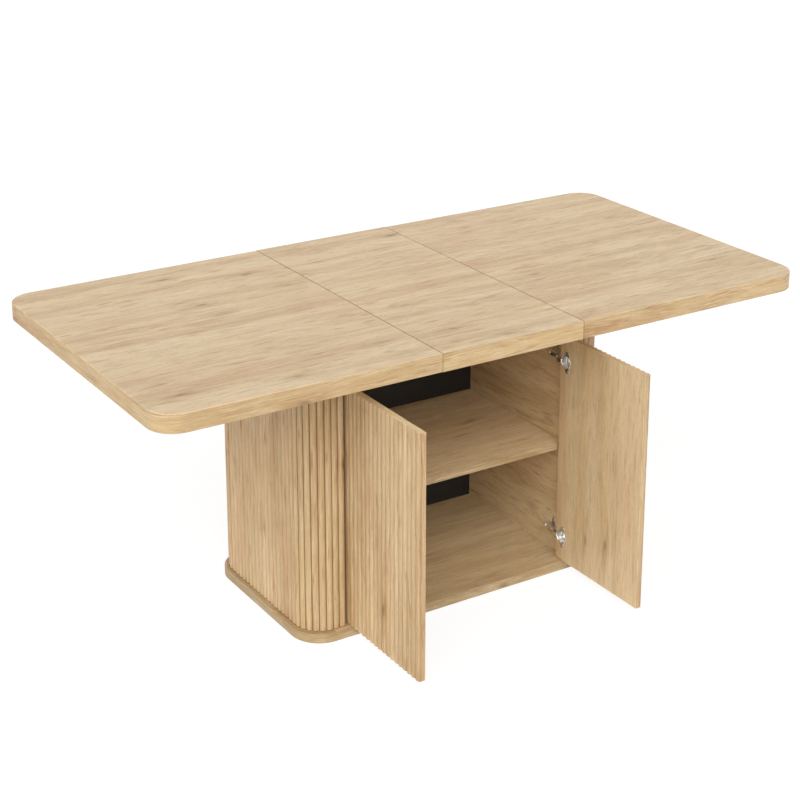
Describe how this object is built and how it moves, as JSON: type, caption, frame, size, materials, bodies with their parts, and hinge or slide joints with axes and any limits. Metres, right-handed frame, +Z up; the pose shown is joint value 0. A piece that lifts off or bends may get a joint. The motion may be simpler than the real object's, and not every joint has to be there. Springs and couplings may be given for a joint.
{
  "type": "extending dining table",
  "caption": "Long light-oak dining table with rounded corners and a lift-out centre leaf, on a reeded two-door cabinet base with a rounded plinth.",
  "frame": {"origin": "on the floor, under the middle of the cabinet", "axes": "+X along the top to the right, +Y to the back, away from the doors, +Z up"},
  "size_m": [1.8, 1.0013, 0.776],
  "materials": {
    "oak_top": "light oak laminate, matt, grain along the top",
    "oak_laminate": "light oak laminate, matt",
    "oak_reeds": "light oak laminate on upright reeds, matt",
    "black_board": "black foil on thin board",
    "raw_softwood": "planed softwood",
    "raw_beech": "turned beech",
    "nickel": "nickel-plated pressed steel",
    "zinc_plate": "zinc-plated steel",
    "zinc_pins": "turned, zinc-plated steel",
    "zinc_screws": "zinc-plated screws",
    "black_steel": "black powder coat",
    "nylon": "extruded nylon",
    "black_plastic": "moulded black plastic",
    "felt": "pressed felt"
  },
  "bodies": {
    "cabinet": {"back_panel": "black_board", "centre_pin": "zinc_pins", "cross_beams": "black_steel", "floor_pads": "felt", "frame_screws": "zinc_screws", "front_rail": "black_steel", "front_rail_glide": "nylon", "hinge_plate_screws": "zinc_screws", "left_end_battens": "raw_softwood", "left_hinge_arms": "nickel", "left_hinge_plates": "nickel", "left_reeded_end": "oak_reeds", "left_side_panel": "oak_laminate", "pivot_plate": "black_steel", "plinth": "oak_laminate", "rail_end_caps": "black_plastic", "rear_rail": "black_steel", "rear_rail_glide": "nylon", "reeded_rear_panel": "oak_reeds", "right_end_battens": "raw_softwood", "right_hinge_arms": "nickel", "right_hinge_plates": "nickel", "right_reeded_end": "oak_reeds", "right_side_panel": "oak_laminate", "shelf": "oak_laminate", "shelf_pins": "nickel", "top_plate": "oak_laminate"},
    "lifting_leaf": {"centre_leaf": "oak_top", "centre_leaf_pegs": "raw_beech"},
    "turning_bar": {"sync_bar": "zinc_plate", "sync_bar_pins": "zinc_pins"},
    "left_rod": {"left_link_rod": "zinc_plate"},
    "right_rod": {"right_link_rod": "zinc_plate"},
    "left_end": {"left_bracket_pin": "zinc_pins", "left_end_top": "oak_top", "left_front_runner": "black_steel", "left_keepers": "zinc_plate", "left_link_bracket": "zinc_plate", "left_rear_runner": "black_steel", "left_stiffener": "black_steel", "left_top_screws": "zinc_screws"},
    "right_end": {"right_bracket_pin": "zinc_pins", "right_end_top": "oak_top", "right_front_runner": "black_steel", "right_keepers": "zinc_plate", "right_link_bracket": "zinc_plate", "right_rear_runner": "black_steel", "right_stiffener": "black_steel", "right_top_screws": "zinc_screws"},
    "left_door_panel": {"left_door": "oak_reeds", "left_hinge_cup_screws": "zinc_screws", "left_hinge_cups": "nickel", "left_hinge_pins": "nickel"},
    "right_door_panel": {"right_door": "oak_reeds", "right_hinge_cup_screws": "zinc_screws", "right_hinge_cups": "nickel", "right_hinge_pins": "nickel"}
  },
  "joints": [
    {"name": "leaf_lift", "type": "slide", "parent": "cabinet", "child": "lifting_leaf", "axis": [0, 0, 1], "range_m": [0, 0.6957]},
    {"name": "bar_turn", "type": "hinge", "parent": "cabinet", "child": "turning_bar", "pos_m": [0, 0, 0.7], "axis": [0, 0, 1], "range_deg": [0, 76.66]},
    {"name": "left_rod_turn", "type": "hinge", "parent": "turning_bar", "child": "left_rod", "pos_m": [-0.13, 0, 0.7], "axis": [0, 0, 1], "range_deg": [-153.32, 0]},
    {"name": "left_end_slide", "type": "hinge", "parent": "left_rod", "child": "left_end", "pos_m": [-0.26, 0, 0.7], "axis": [0, 0, 1], "range_deg": [0, 76.66]},
    {"name": "right_rod_turn", "type": "hinge", "parent": "turning_bar", "child": "right_rod", "pos_m": [0.13, 0, 0.7], "axis": [0, 0, 1], "range_deg": [-153.32, 0]},
    {"name": "right_end_slide", "type": "hinge", "parent": "right_rod", "child": "right_end", "pos_m": [0.26, 0, 0.7], "axis": [0, 0, 1], "range_deg": [0, 76.66]},
    {"name": "left_door_hinge", "type": "hinge", "parent": "cabinet", "child": "left_door_panel", "pos_m": [-0.3218, -0.2312, 0.338], "axis": [0, 0, 1], "range_deg": [0, 90]},
    {"name": "right_door_hinge", "type": "hinge", "parent": "cabinet", "child": "right_door_panel", "pos_m": [0.3218, -0.2312, 0.338], "axis": [0, 0, 1], "range_deg": [-90, 0]}
  ],
  "couplings": [
    {"joint": "bar_turn", "follows": "leaf_lift", "rad_per_m": 1.9231},
    {"joint": "left_rod_turn", "follows": "leaf_lift", "rad_per_m": -3.8462},
    {"joint": "left_end_slide", "follows": "leaf_lift", "rad_per_m": 1.9231},
    {"joint": "right_rod_turn", "follows": "leaf_lift", "rad_per_m": -3.8462},
    {"joint": "right_end_slide", "follows": "leaf_lift", "rad_per_m": 1.9231}
  ]
}
